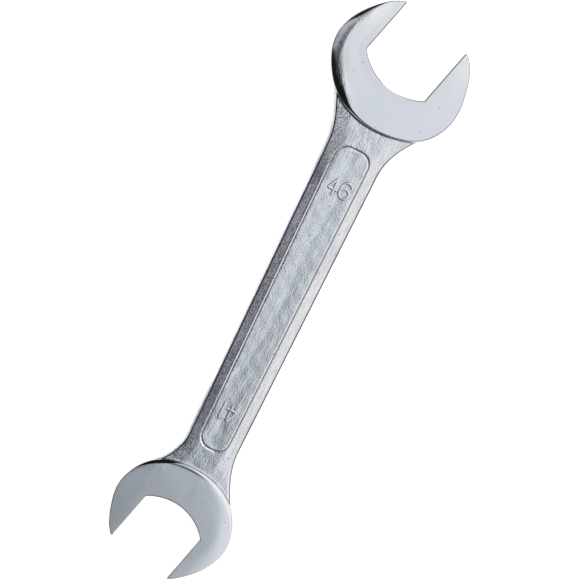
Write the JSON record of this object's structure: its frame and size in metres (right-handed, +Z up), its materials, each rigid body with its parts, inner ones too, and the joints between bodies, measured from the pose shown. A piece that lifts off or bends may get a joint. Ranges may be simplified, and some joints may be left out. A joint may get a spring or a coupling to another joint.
{
  "type": "double open-ended wrench",
  "caption": "Flat double open-ended wrench with angled jaws for 46 mm and 41 mm nuts, a bevelled forged shank, stepped rolled-rim heads and a sunk panel on each face.",
  "frame": {"origin": "middle of the wrench's outline, on the plane that it lies on", "axes": "+X along the shank towards the 46 mm jaw, +Y to the left of that jaw seen from above, +Z up out of the upper face"},
  "size_m": [0.3696, 0.0854, 0.015],
  "materials": {
    "chrome_forging": "satin chrome plate over ground heads and a forged shank"
  },
  "bodies": {
    "root": {"wrench_forging": "chrome_forging"}
  },
  "joints": []
}
